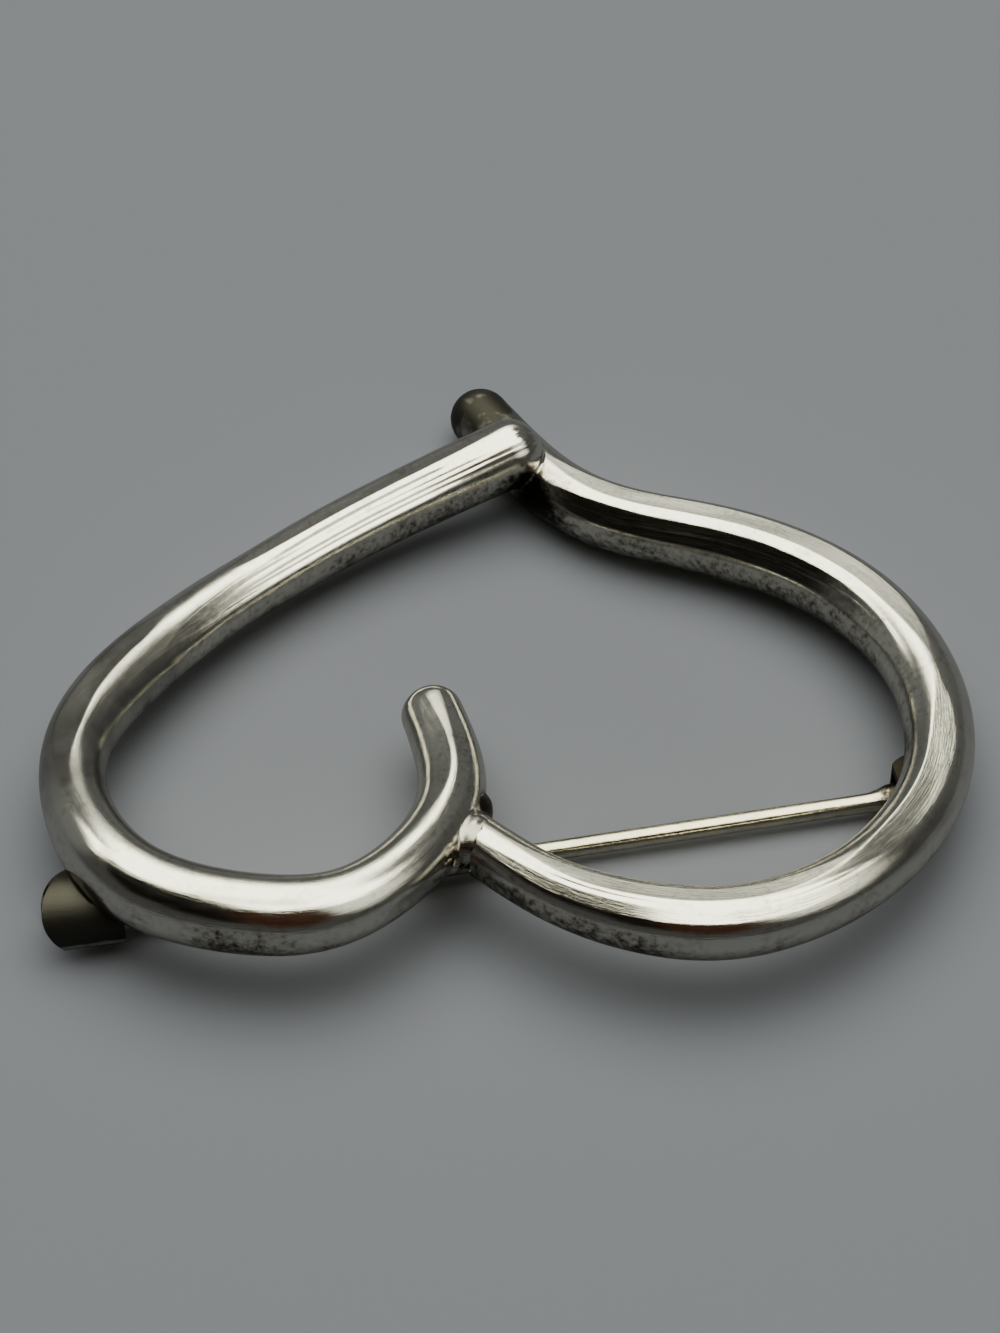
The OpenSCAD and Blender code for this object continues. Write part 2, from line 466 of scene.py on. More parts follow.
hammer(left_wire, LEFT_HEIGHTS, LEFT_FLATS, LEFT_GROOVES, seed=0)
hammer(right_wire, RIGHT_HEIGHTS, RIGHT_FLATS, RIGHT_GROOVES, seed=20)

# %% [markdown]
# Ends of the wires
#
# Three of the four ends were filed round, and the fourth was cut flat and soldered against the curl
# of the other wire. Half a ball could be joined to an end, but its seam would show. On the mesh an
# end is an open ring, so it is extruded a little outwards and made smaller, again and again, as a
# quarter of a circle, and the last ring is closed to a point.

# %% Round the ends
# Degrees up the dome at which a ring is made
DOME_ANGLES = range(10, 90, 10)
# A point this many radii from a ring's centre can't be on the ring
RING_LIMIT = 1.2
# A distance that counts as none, in metres
TINY = 1e-6


def only(obj):
    """Makes obj the one selected and active object."""
    if bpy.context.mode != "OBJECT":
        bpy.ops.object.mode_set(mode="OBJECT")
    bpy.ops.object.select_all(action="DESELECT")
    obj.select_set(True)
    bpy.context.view_layer.objects.active = obj


def pick(obj, kind, test):
    """In edit mode, selects the faces, edges or vertices for which the test is true."""
    only(obj)
    bpy.ops.object.mode_set(mode="EDIT")
    bpy.ops.mesh.select_mode(type=kind)
    bpy.ops.mesh.select_all(action="DESELECT")
    bpy.ops.object.mode_set(mode="OBJECT")
    group = {"VERT": obj.data.vertices, "EDGE": obj.data.edges, "FACE": obj.data.polygons}[kind]
    found = 0
    for item in group:
        item.select = bool(test(item))
        found += item.select
    bpy.ops.object.mode_set(mode="EDIT")
    return found


def round_end(wire, ring, outwards, radius, fullness):
    """Closes an open end. A fullness of 1 is half a ball, and a small one a flat cut."""
    centre = Vector(ring.mean(axis=0))

    def is_on_ring(point):
        if (point.co - centre).length > RING_LIMIT * radius:
            return False
        return (np.abs(ring - np.array(point.co)).sum(axis=1) < TINY).any()

    found = pick(wire, "VERT", is_on_ring)
    scale_before, out_before = 1.0, 0.0
    for angle in DOME_ANGLES:
        scale_now = math.cos(math.radians(angle))
        out_now = radius * fullness * math.sin(math.radians(angle))
        step = outwards * (out_now - out_before)
        bpy.ops.mesh.extrude_edges_move(TRANSFORM_OT_translate={"value": step})
        share = scale_now / scale_before
        bpy.ops.transform.resize(value=(share,) * 3, center_override=centre + outwards * out_now)
        scale_before, out_before = scale_now, out_now
    bpy.ops.mesh.edge_face_add()
    bpy.ops.mesh.poke()
    bpy.ops.object.mode_set(mode="OBJECT")
    return found


def round_both_ends(wire, start_fullness, end_fullness):
    """Closes the first and the last ring of a wire."""
    rings = rings_of(wire)
    for here, inner, fullness in ((0, 1, start_fullness), (-1, -2, end_fullness)):
        centre = rings[here].mean(axis=0)
        outwards = Vector(centre - rings[inner].mean(axis=0)).normalized()
        radius = float(np.linalg.norm(rings[here] - centre, axis=1).mean())
        found = round_end(wire, rings[here], outwards, radius, fullness)
        print(wire.name, "end ring of", found, "points, radius", round(radius / MM, 2), "mm")


round_both_ends(left_wire, start_fullness=0.85, end_fullness=1)
round_both_ends(right_wire, start_fullness=0.08, end_fullness=1)

# %% Cut the right wire where it is soldered to the curl
CUT_AT = Vector((-1.3, -15.2, 4.7)) * MM
CUT_FACING = Vector((-0.93, 0.38, 0.0))
CUT_REACH = 8 * MM
CUT_INSET = 0.15 * MM


def cut_wire(wire, place, facing):
    """Saws a wire off along a plane and closes the cut with a face."""
    pick(wire, "VERT", lambda v: (v.co - place).length < CUT_REACH)
    bpy.ops.mesh.bisect(plane_co=place, plane_no=facing, clear_outer=True, use_fill=True)
    bpy.ops.mesh.inset(thickness=CUT_INSET)
    bpy.ops.mesh.poke()
    bpy.ops.object.mode_set(mode="OBJECT")


cut_wire(right_wire, CUT_AT, CUT_FACING)
print("right wire now has", len(right_wire.data.vertices), "points")

# %% [markdown]
# Hinge bracket
#
# The stem turns between two ears under the right lobe. The bracket is a small plate, soldered to
# the underside of the wire, with an ear at each side. Three blocks could be joined to make it, but
# one cube gives clean corners: its underside is cut in three strips, the outer two are pulled down
# as ears, their lower corners are rounded with a wide bevel, and the hole for the rivet is drilled
# with a boolean. A standing cylinder, crossed with it, rounds its upright corners, so that it hides
# under the wire.

# %% Sizes behind the brooch, in millimetres
HINGE_AT = (22.9, -8.6, 1.05)
CATCH_AT = (-23.1, -17.7)
STEM_TURN = math.atan2(CATCH_AT[1] - HINGE_AT[1], CATCH_AT[0] - HINGE_AT[0])
STEM_FRAME = Matrix.Translation(Vector(HINGE_AT) * MM) @ Matrix.Rotation(STEM_TURN, 4, "Z")
BRACKET_L, BRACKET_W, BRACKET_R, EAR_GAP = 2.6, 3.4, 1.78, 2.1
EAR_ROUND, BRACKET_EDGE = 1.0, 0.07
PLATE_LOW, PLATE_T = 1.1, 0.5
EAR_LOW = -HINGE_AT[2]
RIVET_D, EYE_D, EYE_W, EYE_EDGE = 0.6, 1.9, 2.0, 0.18
# Gaps round the rivet: in the ears, where it is fixed, and in the eye, where the stem turns
STILL_GAP, TURN_GAP = 0.02, 0.05
# Sides of a rod, and of a finer one that trims an edge that shows
ROD_SIDES, FINE_SIDES = 48, 96
# A face looks along an axis if that part of its normal is more than this
LOOKS_ALONG = 0.9
print("the stem lies at", round(math.degrees(STEM_TURN)), "degrees")


# %% Solid rods, and how they are put together
def apply_modifier(obj, kind, **settings):
    """Adds a modifier, sets it and applies it."""
    only(obj)
    modifier = obj.modifiers.new(kind.lower(), kind)
    for key, value in settings.items():
        setattr(modifier, key, value)
    bpy.ops.object.modifier_apply(modifier=modifier.name)


def settle(obj, matrix, name):
    """Puts a piece that was modelled at the origin in its place, and applies that to its mesh."""
    only(obj)
    obj.matrix_world = matrix
    bpy.ops.object.transform_apply(location=True, rotation=True, scale=True)
    obj.name = name
    return obj


def combine(obj, other, how):
    """Adds, cuts or crosses obj with another solid, which is used up."""
    apply_modifier(obj, "BOOLEAN", object=other, operation=how, solver="EXACT")
    bpy.data.objects.remove(other)


def rod(radius, length, sides=ROD_SIDES):
    """A plain cylinder along the rivet's direction, at the hinge's own origin."""
    bpy.ops.object.select_all(action="DESELECT")
    bpy.ops.mesh.primitive_cylinder_add(vertices=sides, radius=radius * MM, depth=length * MM,
                                        location=(0, 0, 0), rotation=(math.pi / 2, 0, 0))
    made = bpy.context.active_object
    bpy.ops.object.transform_apply(location=True, rotation=True, scale=True)
    return made


# %% Make the hinge bracket
# Longer than the bracket is tall
UPRIGHT_L = 10


def make_bracket():
    """A plate with two ears and a hole through them, about the rivet's middle."""
    bpy.ops.object.select_all(action="DESELECT")
    bpy.ops.mesh.primitive_cube_add(size=MM, location=(0, 0, (PLATE_LOW + PLATE_T / 2) * MM),
                                    scale=(BRACKET_L, BRACKET_W, PLATE_T))
    bracket = bpy.context.active_object
    bpy.ops.object.transform_apply(location=True, rotation=True, scale=True)
    for side in (-1, 1):
        pick(bracket, "FACE", lambda f: True)
        bpy.ops.mesh.bisect(plane_co=(0, side * EAR_GAP / 2 * MM, 0), plane_no=(0, 1, 0))

    def is_outer_strip(face):
        return face.normal.z < -LOOKS_ALONG and abs(face.center.y) > EAR_GAP / 2 * MM

    strips = pick(bracket, "FACE", is_outer_strip)
    drop = Vector((0, 0, (EAR_LOW - PLATE_LOW) * MM))
    bpy.ops.mesh.extrude_region_move(TRANSFORM_OT_translate={"value": drop})
    bpy.ops.object.mode_set(mode="OBJECT")

    def is_low_corner(edge):
        ends = [bracket.data.vertices[i].co for i in edge.vertices]
        low = all(abs(c.z - EAR_LOW * MM) < TINY for c in ends)
        return low and abs(ends[0].y - ends[1].y) > TINY

    corners = pick(bracket, "EDGE", is_low_corner)
    bpy.ops.mesh.bevel(offset=EAR_ROUND * MM, segments=10)
    bpy.ops.object.mode_set(mode="OBJECT")
    combine(bracket, rod(RIVET_D / 2 + STILL_GAP, 2 * BRACKET_W), "DIFFERENCE")
    upright = rod(BRACKET_R, UPRIGHT_L, FINE_SIDES)
    settle(upright, Matrix.Rotation(math.pi / 2, 4, "X"), "upright")
    combine(bracket, upright, "INTERSECT")
    apply_modifier(bracket, "BEVEL", width=BRACKET_EDGE * MM, segments=3, limit_method="ANGLE",
                   angle_limit=math.radians(40))
    print("bracket:", strips, "ears,", corners, "rounded corners")
    return settle(bracket, STEM_FRAME, "hinge_bracket")


hinge_bracket = make_bracket()

# %% [markdown]
# Catch
#
# The catch is a strip of silver curled into an open ring round the stem's point. A flat strip could
# be bent by hand, but its cross-section, spun about the line of the stem, gives the curl and its
# thickness at once. The strip's free side is round: only what lies inside a slanted cylinder, or
# beside it towards the heart, is kept.

# %% Make the catch
# Sizes in millimetres
CATCH_R, STRIP_T, STRIP_W, CATCH_EDGE = 2.25, 0.6, 4.3, 0.08
TRIM_R, TRIM_L, TRIM_SLANT = 2.4, 20, math.radians(135)
CATCH_STEPS = 52
# Where the curl is open, in degrees from straight down. It stands on its lip at the first angle
MOUTH = (-25, 75)
CATCH_Z = CATCH_R * math.cos(math.radians(MOUTH[0]))


def make_catch():
    """Spins the strip's cross-section into a curl, about the line of the stem."""
    bpy.ops.object.select_all(action="DESELECT")
    bpy.ops.mesh.primitive_plane_add(size=MM, location=(0, 0, -(CATCH_R - STRIP_T / 2) * MM),
                                     rotation=(math.pi / 2, 0, 0))
    catch = bpy.context.active_object
    catch.scale = (STRIP_W, STRIP_T, 1)
    bpy.ops.object.transform_apply(location=True, rotation=True, scale=True)
    pick(catch, "FACE", lambda f: True)
    first = math.radians(MOUTH[1])
    bpy.ops.transform.rotate(value=first, orient_axis="X", center_override=(0, 0, 0))
    sweep = math.radians(360 - (MOUTH[1] - MOUTH[0]))
    bpy.ops.mesh.spin(steps=CATCH_STEPS, angle=sweep, center=(0, 0, 0), axis=(1, 0, 0))
    bpy.ops.mesh.select_all(action="SELECT")
    bpy.ops.mesh.remove_doubles(threshold=TINY)
    bpy.ops.mesh.normals_make_consistent(inside=False)
    bpy.ops.object.mode_set(mode="OBJECT")
    return catch


def trim_catch(catch):
    """Cuts the strip's free side round, and softens all its edges."""
    trimmer = rod(TRIM_R, TRIM_L, FINE_SIDES)
    bpy.ops.object.select_all(action="DESELECT")
    bpy.ops.mesh.primitive_cube_add(size=MM, location=(STRIP_W / 2 * MM, 0, 0),
                                    scale=(STRIP_W, TRIM_L, 2 * TRIM_R))
    block = bpy.context.active_object
    bpy.ops.object.transform_apply(location=True, rotation=True, scale=True)
    combine(trimmer, block, "UNION")
    slant = Matrix.Rotation(TRIM_SLANT, 4, "X")
    settle(trimmer, slant @ Matrix.Translation((TRIM_R * MM - STRIP_W / 2 * MM, 0, 0)), "trimmer")
    combine(catch, trimmer, "INTERSECT")
    apply_modifier(catch, "BEVEL", width=CATCH_EDGE * MM, segments=3, limit_method="ANGLE",
                   angle_limit=math.radians(50))


catch_strip = make_catch()
trim_catch(catch_strip)
CATCH_FRAME = (Matrix.Translation(Vector((*CATCH_AT, CATCH_Z)) * MM)
               @ Matrix.Rotation(STEM_TURN + math.pi, 4, "Z"))
settle(catch_strip, CATCH_FRAME, "catch_strip")
print("catch of", len(catch_strip.data.polygons), "faces")

# %% [markdown]
# Pin stem and rivet
#
# The stem is a straight wire whose thick end is an eye on the rivet, and whose other end is ground
# to a point. A curve with a bevel could be used again, but for so few changes of thickness edit
# mode is plainer: a round face is extruded along the stem, and widened or narrowed at each step.
# The eye is a cylinder, added to it and drilled. The rivet is a pin whose ends were hammered to
# flat round heads, so its end faces are widened and pulled out a little.

# %% Make the stem
# Radius where the stem starts, and then place along it and radius, in millimetres
STEM_ROOT = 0.9
STEM_STEPS = [(1.2, 0.93), (1.8, 0.86), (2.3, 0.68), (2.8, 0.57), (3.6, 0.55), (43.2, 0.55),
              (44.6, 0.49), (46.0, 0.37), (47.2, 0.24), (48.0, 0.13), (48.3, 0.08)]


def make_stem():
    """A straight wire with an eye about the rivet and a ground point."""
    bpy.ops.object.select_all(action="DESELECT")
    bpy.ops.mesh.primitive_circle_add(vertices=ROD_SIDES, radius=STEM_ROOT * MM, fill_type="NGON",
                                      location=(0, 0, 0), rotation=(0, math.pi / 2, 0))
    stem = bpy.context.active_object
    bpy.ops.object.transform_apply(location=True, rotation=True, scale=True)
    pick(stem, "FACE", lambda f: True)
    at, radius = 0.0, STEM_ROOT
    for place, thin in STEM_STEPS:
        bpy.ops.mesh.extrude_region_move(
            TRANSFORM_OT_translate={"value": ((place - at) * MM, 0, 0)})
        share = thin / radius
        bpy.ops.transform.resize(value=(1, share, share), center_override=(place * MM, 0, 0))
        at, radius = place, thin
    bpy.ops.mesh.select_all(action="SELECT")
    bpy.ops.mesh.normals_make_consistent(inside=False)
    bpy.ops.object.mode_set(mode="OBJECT")
    eye = rod(EYE_D / 2, EYE_W)
    apply_modifier(eye, "BEVEL", width=EYE_EDGE * MM, segments=4, limit_method="ANGLE")
    combine(stem, eye, "UNION")
    combine(stem, rod(RIVET_D / 2 + TURN_GAP, 2 * EYE_W), "DIFFERENCE")
    return settle(stem, STEM_FRAME, "stem_wire")


stem_wire = make_stem()
print("stem of", len(stem_wire.data.polygons), "faces")

# %% Make the rivet
HEAD_D, HEAD_T = 1.0, 0.25
# Share of the head's thickness, and what share of its width is left after it
HEAD_STEPS = [(0.5, 1.0), (0.3, 0.92), (0.2, 0.6)]


def make_rivet():
    """A pin through both ears, with a head on each end."""
    shank = BRACKET_W + 2 * STILL_GAP
    rivet = rod(RIVET_D / 2, shank)
    for side in (-1, 1):
        pick(rivet, "FACE", lambda f: f.normal.y * side > LOOKS_ALONG and f.center.y * side > 0)
        wider = HEAD_D / RIVET_D
        bpy.ops.mesh.extrude_region_move(TRANSFORM_OT_translate={"value": (0, 0, 0)})
        bpy.ops.transform.resize(value=(wider, 1, wider), center_override=(0, 0, 0))
        for step, share in HEAD_STEPS:
            bpy.ops.mesh.extrude_region_move(
                TRANSFORM_OT_translate={"value": (0, side * step * HEAD_T * MM, 0)})
            bpy.ops.transform.resize(value=(share, 1, share), center_override=(0, 0, 0))
        bpy.ops.object.mode_set(mode="OBJECT")
    return settle(rivet, STEM_FRAME, "rivet_pin")


rivet_pin = make_rivet()
print("rivet of", len(rivet_pin.data.polygons), "faces")

# %% [markdown]
# Solder
#
# Where two pieces meet, solder has run into the corner between them. Beads alone would look stuck
# on, and a bevel can't follow such a joint. So both pieces are copied near it, melted into one skin
# by a voxel remesh, and smoothed for long, which fills the corner. The skin then sinks a little, so
# that it lies under the metal everywhere but in the corner. At the curl three flat beads are melted
# in too, because the solder stands proud there.

# %% Fill the joints with solder
# Size of the remesh's cells, and how far the skin sinks, in millimetres
VOXEL = 0.09
SINK = 0.03
# Place and sizes in millimetres, and turn in degrees, of each bead
CURL_BEADS = [
    ((-1.9, -14.9, 4.5), (2.4, 3.4, 3.1), -22),
    ((-2.6, -15.8, 4.3), (1.2, 3.0, 1.2), -27),
    ((-1.45, -12.9, 4.3), (1.2, 2.6, 2.0), -10),
]


def add_bead(place, sizes, turn):
    """A lump of solder: a ball of the given three sizes, turned about Z."""
    bpy.ops.object.select_all(action="DESELECT")
    bpy.ops.mesh.primitive_uv_sphere_add(segments=48, ring_count=24, radius=MM / 2,
                                         location=Vector(place) * MM, scale=sizes,
                                         rotation=(0, 0, math.radians(turn)))
    bead = bpy.context.active_object
    bpy.ops.object.transform_apply(location=True, rotation=True, scale=True)
    return bead


def solder(name, pieces, place, reach, rounds, beads=()):
    """Melts what lies within reach of a place, and the beads, into one smooth skin."""
    copies = []
    for piece in pieces:
        only(piece)
        bpy.ops.object.duplicate()
        copies.append(bpy.context.active_object)
    for copy in copies:
        bpy.ops.object.select_all(action="DESELECT")
        bpy.ops.mesh.primitive_ico_sphere_add(subdivisions=4, radius=reach * MM,
                                              location=Vector(place) * MM)
        ball = bpy.context.active_object
        bpy.ops.object.transform_apply(location=True, rotation=True, scale=True)
        combine(copy, ball, "INTERSECT")
    copies += [add_bead(*bead) for bead in beads]
    bpy.ops.object.select_all(action="DESELECT")
    for copy in copies:
        copy.select_set(True)
    bpy.context.view_layer.objects.active = copies[0]
    bpy.ops.object.join()
    joint = bpy.context.active_object
    joint.name = name
    apply_modifier(joint, "REMESH", mode="VOXEL", voxel_size=VOXEL * MM)
    apply_modifier(joint, "SMOOTH", factor=0.5, iterations=rounds)
    apply_modifier(joint, "DISPLACE", mid_level=0, strength=-SINK * MM)
    print(name, len(joint.data.polygons), "faces")
    return joint


curl_solder = solder("curl_solder", (left_wire, right_wire), place=(-1.4, -15.0, 4.5),
                     reach=4.6, rounds=60, beads=CURL_BEADS)
tip_solder = solder("tip_solder", (left_wire, right_wire), place=(0.2, 16.0, 3.4),
                    reach=4.4, rounds=30)
bracket_solder = solder("bracket_solder", (right_wire, hinge_bracket), place=(22.9, -8.6, 2.9),
                        reach=2.6, rounds=25)
catch_solder = solder("catch_solder", (left_wire, catch_strip), place=(-22.8, -16.4, 3.6),
                      reach=2.6, rounds=25)

# %% [markdown]
# Silver
#
# The metal is sterling silver, polished bright. It is a metallic shader with a slightly warm white
# and a low roughness. In corners, on the underside and on the inner sides, where no polishing cloth
# reaches, the silver has gone brown to black in specks, and in places a thin film dims it. The dark
# in the corners and cracks of the joints and on the underside is also painted shade, and most of
# the
# film is painted shade as well: it darkens highlights on stretches of the wires, on the solder, the
# tail and the stem, darkens the catch and the bracket in the wire's shade, and on the left front
# paints the reflection of a dark spot overhead. The tarnish could be painted on an image, but noise
# needs none and stays sharp up close. Each piece carries three attributes that steer it: the place
# along and about its own wire, so that scratches follow the wire, how tarnished and shaded the
# place is, and how thick its film and painted shade are.

# %% Where the silver is tarnished, and where shade is painted on it
# Spots at the joints: tarnish, and painted shade in their cracks and under them
# Right, back, height, reach in millimetres, and strength
TARNISH_AND_SHADE_SPOTS = [
    (1.0, 13.9, 3.2, 1.7, 0.5),
    (2.4, 13.2, 2.6, 1.6, 0.5),
    (-0.7, -12.9, 4.6, 1.1, 3.0),
    (-2.2, -16.1, 2.9, 1.6, 1.3),
    (-0.4, -15.9, 3.0, 1.3, 0.8),
    (22.9, -8.6, 2.6, 2.4, 1.6),
    (-22.4, -16.2, 3.8, 1.6, 0.8),
]
# A spot's tarnish and painted shade are gone at this many times its reach, and full from one reach
# nearer
SPOT_END = 1.3
# Tarnish and painted shade of faces that look down, the upward share of the normal where it starts,
# its power
BELOW, BELOW_FROM, BELOW_POWER = 0.30, 0.25, 0.7
# Tarnish of faces that look at the heart's middle, and its power
INNER, INNER_POWER = 0.13, 1.5
HEART_MIDDLE = np.array((0.0, -4.0, 0.0)) * MM
# Piece, from, to (millimetres along the wire, or to the right on a piece that isn't a wire), from,
# to (degrees about it), strength
STAINS = [
    ("left_wire", 8, 14, 60, 120, 0.25),
    ("left_wire", 19, 26, 60, 120, 0.30),
    ("left_wire", 28, 33, 60, 120, 0.22),
    ("left_wire", 60, 80, -130, -68, 0.10),
    ("right_wire", 1, 15, -130, -62, 0.32),
    ("right_wire", 42, 72, 58, 130, 0.12),
]
# The same for the film that dims the metal, which is mostly painted shade over highlights: 1 is
# smoky, 2 and more is black
DULL = [
    ("left_wire", 34, 51, -180, 180, 1.0),
    ("left_wire", -3, 6, -12, 14, 0.6),
    # On the left front a painted reflection of a dark spot overhead
    ("left_wire", 18, 26, 13, 31, 0.9),
    ("left_wire", 8, 15, -40, -12, 0.5),
    ("right_wire", 24, 33, -70, -30, 0.5),
    ("right_wire", 73, 90, -180, 180, 2.4),
    ("curl_solder", -10, 10, -180, 180, 1.2),
    ("tip_solder", -10, 10, -180, 180, 0.2),
    # The bracket under the wire is painted black, as painted shade
    ("hinge_bracket", 10, 40, -180, 180, 4.0),
    ("stem_wire", -40, 40, -180, 180, 0.3),
]
# Film all over the catch, more of it between two heights, and how softly that ends, in millimetres.
# Both are also painted shade, for the catch lies under the wire
CATCH_FILM_AND_SHADE, CATCH_DARK = 0.4, 5.0
DARK_LOW, DARK_HIGH, DARK_FADE = 1.5, 6.0, 0.9
# How softly a stain ends, in millimetres along the wire and degrees about it
ALONG_FADE, AROUND_FADE = 2.5, 10
print(len(TARNISH_AND_SHADE_SPOTS), "spots,", len(STAINS), "stains and", len(DULL), "dull stretches")

# %% Mark how worn each place is, and where shade is painted
# Points of a wire that are compared with its axis at a time, which keeps the memory small
CHUNK = 2000


def patches_at(name, straight, table):
    """How strongly each point lies in the table's patches of the piece of that name."""
    turns = np.degrees(np.arctan2(straight[:, 1], straight[:, 2]))
    total = np.zeros(len(straight))
    for wire_name, start, end, low, high, strength in table:
        if wire_name == name:
            around = within(turns, low, high, AROUND_FADE) if high - low < 360 else 1
            total += strength * within(straight[:, 0], start, end, ALONG_FADE) * around
    return total


def straightened(piece, co):
    """Each point's place along its wire, sideways and up from its axis, in millimetres."""
    if piece.name not in AXES:
        return co / MM
    centres, along, sideways, upward, place = AXES[piece.name]
    near = np.empty(len(co), int)
    for start in range(0, len(co), CHUNK):
        part = slice(start, start + CHUNK)
        near[part] = ((co[part, None] - centres[None]) ** 2).sum(axis=2).argmin(axis=1)
    out = co - centres[near]
    return np.stack([place[near] + (out * along[near]).sum(axis=1) / MM,
                     (out * sideways[near]).sum(axis=1) / MM,
                     (out * upward[near]).sum(axis=1) / MM], axis=1)


def mark(piece):
    """Stores the straightened place, and how tarnished and dimmed each point is, with painted
    shade.
    """
    count = len(piece.data.vertices)
    co, normal = np.empty(count * 3), np.empty(count * 3)
    piece.data.vertices.foreach_get("co", co)
    piece.data.vertices.foreach_get("normal", normal)
    co, normal = co.reshape(-1, 3), normal.reshape(-1, 3)
    straight = straightened(piece, co)
    # Faces that look down are darkened: tarnish, and painted shade
    tarnish_and_shade = BELOW * np.clip(BELOW_FROM - normal[:, 2], 0, 1) ** BELOW_POWER
    tarnish_and_shade += patches_at(piece.name, straight, STAINS)
    dull = patches_at(piece.name, straight, DULL)
    # The catch is dimmed with film and painted shade
    if piece.name.startswith("catch"):
        dull += CATCH_FILM_AND_SHADE + CATCH_DARK * within(co[:, 2] / MM, DARK_LOW, DARK_HIGH, DARK_FADE)
    inward = (HEART_MIDDLE - co)[:, :2]
    inward /= np.linalg.norm(inward, axis=1)[:, None]
    facing = np.clip((normal[:, :2] * inward).sum(axis=1), 0, 1)
    tarnish_and_shade += INNER * facing ** INNER_POWER
    # Spots at the joints darken their cracks: tarnish, and painted shade
    for x, y, z, reach, strength in TARNISH_AND_SHADE_SPOTS:
        far = np.linalg.norm(co / MM - np.array((x, y, z)), axis=1) / reach
        tarnish_and_shade += strength * np.clip(SPOT_END - far, 0, 1)
    for name, kind, values in (("straight", "FLOAT_VECTOR", straight),
                               ("tarnish_and_shade", "FLOAT", tarnish_and_shade), ("dull", "FLOAT", dull)):
        layer = piece.data.attributes.new(name, kind, "POINT")
        key = "vector" if kind == "FLOAT_VECTOR" else "value"
        layer.data.foreach_set(key, np.ascontiguousarray(values, dtype=np.float32).reshape(-1))
    return float(tarnish_and_shade.mean())


# %% Silver, bright and tarnished, with painted shade
# The colours that silver passes through as its tarnish or its film gets thicker. They also paint
# shade: in the cracks of the joints, on faces that look down, and over highlights that are darkened
YELLOW_TARNISH_AND_SHADE = (0.42, 0.40, 0.335, 1)
SMOKE_FILM_AND_SHADE = (0.36, 0.355, 0.33, 1)
SOOT_FILM_AND_SHADE = (0.045, 0.044, 0.039, 1)
BLACK_TARNISH_AND_SHADE = (0.030, 0.026, 0.021, 1)


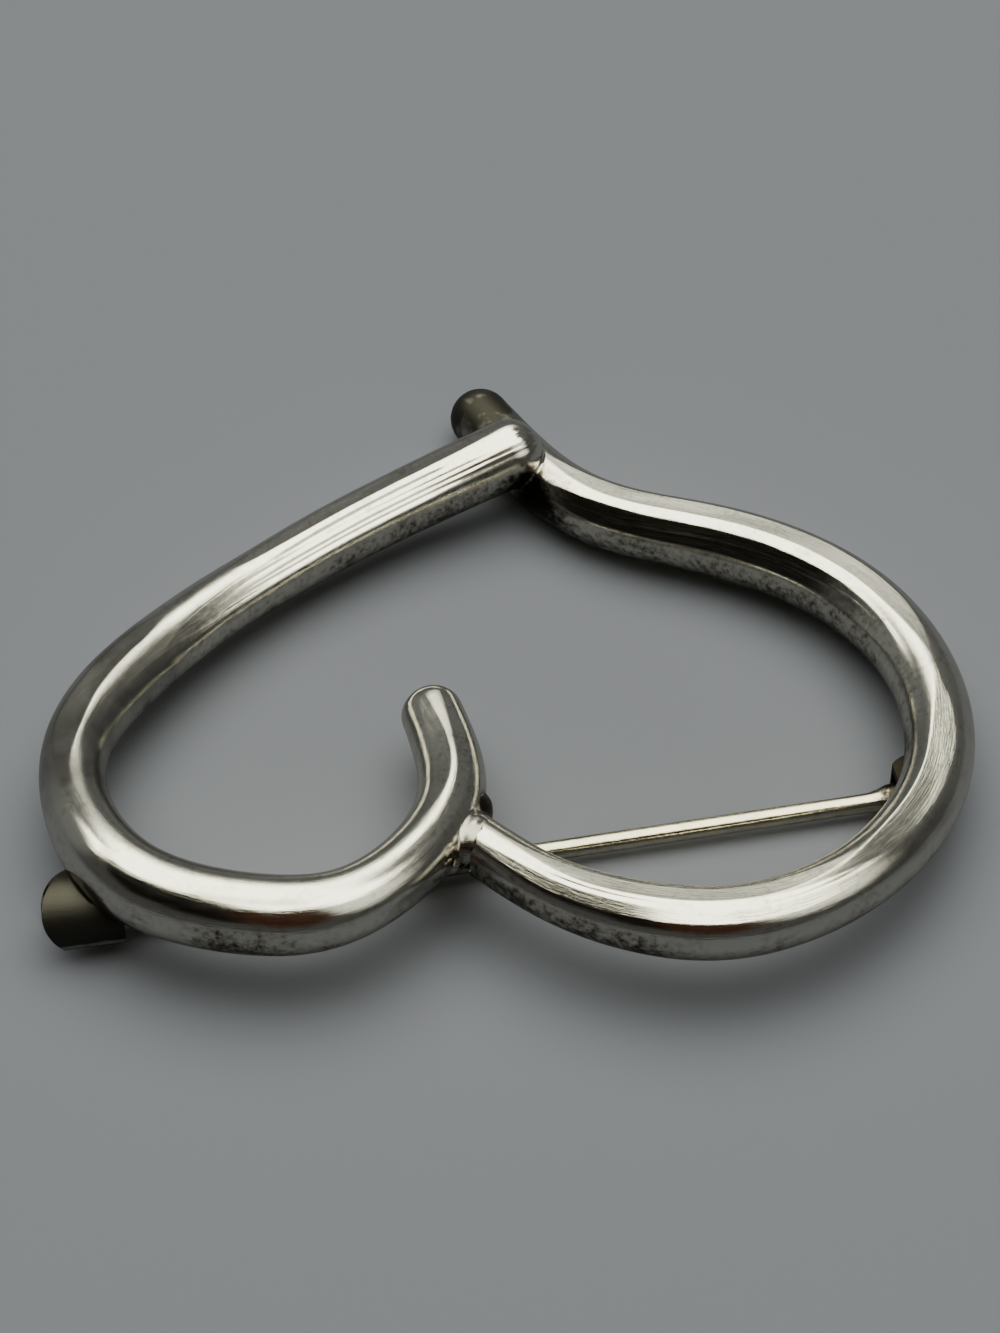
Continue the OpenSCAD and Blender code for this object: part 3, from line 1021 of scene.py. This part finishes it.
def silver(name, bright, roughness):
    """Silver with fine scratches along the wire, dimmed patches and dark specks, partly painted
    shade.
    """
    material, tree, shader = new_material(name)
    straight = node(tree, "ShaderNodeAttribute", attribute_name="straight").outputs["Vector"]
    age_and_shade = node(tree, "ShaderNodeAttribute", attribute_name="tarnish_and_shade").outputs["Fac"]
    film_and_shade = node(tree, "ShaderNodeAttribute", attribute_name="dull").outputs["Fac"]
    spots = node(tree, "ShaderNodeTexNoise", {"Vector": straight, "Scale": 2.5, "Detail": 4.0,
                                              "Roughness": 0.62}).outputs["Fac"]
    clouds = node(tree, "ShaderNodeTexNoise", {"Vector": straight, "Scale": 0.45,
                                               "Detail": 3.0}).outputs["Fac"]
    both = node(tree, "ShaderNodeMath", {0: clouds, 1: 0.6, 2: spots}, operation="MULTIPLY_ADD")
    reach = node(tree, "ShaderNodeMath", {0: age_and_shade, 1: 0.8, 2: both.outputs[0]},
                 operation="MULTIPLY_ADD").outputs[0]
    dark = node(tree, "ShaderNodeMapRange", {
        "Value": reach, "From Min": 0.98, "From Max": 1.40},
        interpolation_type="SMOOTHSTEP").outputs["Result"]
    yellow = node(tree, "ShaderNodeMapRange", {
        "Value": reach, "From Min": 0.80, "From Max": 1.25}).outputs["Result"]
    cloudy = node(tree, "ShaderNodeMapRange", {
        "Value": clouds, "From Min": 0.35, "From Max": 0.6, "To Min": 0.45}).outputs["Result"]
    thick = node(tree, "ShaderNodeMath", {0: film_and_shade, 1: cloudy}, operation="MULTIPLY").outputs[0]
    smoky_film_and_shade = node(tree, "ShaderNodeMath", {0: thick, 1: 1.0}, operation="MINIMUM").outputs[0]
    black_film_and_shade = node(tree, "ShaderNodeMath", {0: thick, 1: smoky_film_and_shade}, operation="SUBTRACT",
                      use_clamp=True).outputs[0]
    # The yellow and dark shares paint tarnish, and painted shade in cracks and on faces that look
    # down; the two film shares are mostly painted shade over highlights
    colour = (*bright, 1)
    for share, paint in ((yellow, YELLOW_TARNISH_AND_SHADE), (smoky_film_and_shade, SMOKE_FILM_AND_SHADE), (black_film_and_shade, SOOT_FILM_AND_SHADE),
                         (dark, BLACK_TARNISH_AND_SHADE)):
        colour = result(node(tree, "ShaderNodeMix", {
            "Factor": share, "A": colour, "B": paint}, data_type="RGBA"))
    tree.links.new(colour, shader.inputs["Base Color"])
    shader.inputs["Metallic"].default_value = 1
    drawn = node(tree, "ShaderNodeMapping", {"Vector": straight, "Scale": (0.35, 5.0, 5.0)})
    lines = node(tree, "ShaderNodeTexNoise", {"Vector": drawn.outputs["Vector"], "Scale": 2.2,
                                              "Detail": 4.0, "Roughness": 0.6}).outputs["Fac"]
    gloss = node(tree, "ShaderNodeMapRange", {
        "Value": lines, "From Min": 0.3, "From Max": 0.7,
        "To Min": roughness * 0.75, "To Max": roughness * 1.35}).outputs["Result"]
    rough = gloss
    for share, extra in ((dark, 0.15), (smoky_film_and_shade, 0.05), (black_film_and_shade, 0.30)):
        rough = node(tree, "ShaderNodeMath", {0: share, 1: extra, 2: rough},
                     operation="MULTIPLY_ADD").outputs[0]
    tree.links.new(rough, shader.inputs["Roughness"])
    bump = node(tree, "ShaderNodeBump", {"Height": lines, "Strength": 0.15,
                                         "Distance": 0.05 * MM})
    pits = node(tree, "ShaderNodeBump", {"Height": dark, "Strength": 0.25,
                                         "Distance": -0.03 * MM,
                                         "Normal": bump.outputs["Normal"]})
    tree.links.new(pits.outputs["Normal"], shader.inputs["Normal"])
    return material


polished = silver("polished silver", (0.72, 0.71, 0.66), 0.13)
warm = silver("warm stem silver", (0.74, 0.69, 0.52), 0.13)
print("materials:", polished.name, "and", warm.name)

# %% [markdown]
# Pieces on their bodies
#
# The real brooch has two parts that move against each other: the heart with its rivet, and the pin
# stem that turns on it. The pieces could be keyed or parented by hand, but riding on the bodies of
# the CAD model they turn about the very same hinge. Each piece gets its finish, and the CAD nodes
# that the pieces stand for are hidden, so that those aren't shown twice.

# %% Give each piece its finish and its body
def smooth_look(obj, degrees=40):
    """Shades a piece smooth, but keeps edges sharper than the angle."""
    only(obj)
    bpy.ops.object.shade_smooth_by_angle(angle=math.radians(degrees))


PIECES = [
    (left_wire, "brooch", "polished_silver", polished),
    (right_wire, "brooch", "polished_silver", polished),
    (curl_solder, "brooch", "polished_silver", polished),
    (tip_solder, "brooch", "polished_silver", polished),
    (hinge_bracket, "brooch", "polished_silver", polished),
    (bracket_solder, "brooch", "polished_silver", polished),
    (catch_strip, "brooch", "polished_silver", polished),
    (catch_solder, "brooch", "polished_silver", polished),
    (rivet_pin, "brooch", "rivet_silver", polished),
    (stem_wire, "stem", "stem_silver", warm),
]
for piece, body, slot, material in PIECES:
    smooth_look(piece)
    piece.data.materials.clear()
    piece.data.materials.append(material)
    mean_tarnish_and_shade = mark(piece)
    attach(piece, body)
    print(piece.name, "rides on", body, "with mean tarnish", round(mean_tarnish_and_shade, 2))

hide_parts("heart_frame")
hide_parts("heart_frame")
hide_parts("pin_stem")
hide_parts("hinge_rivet")
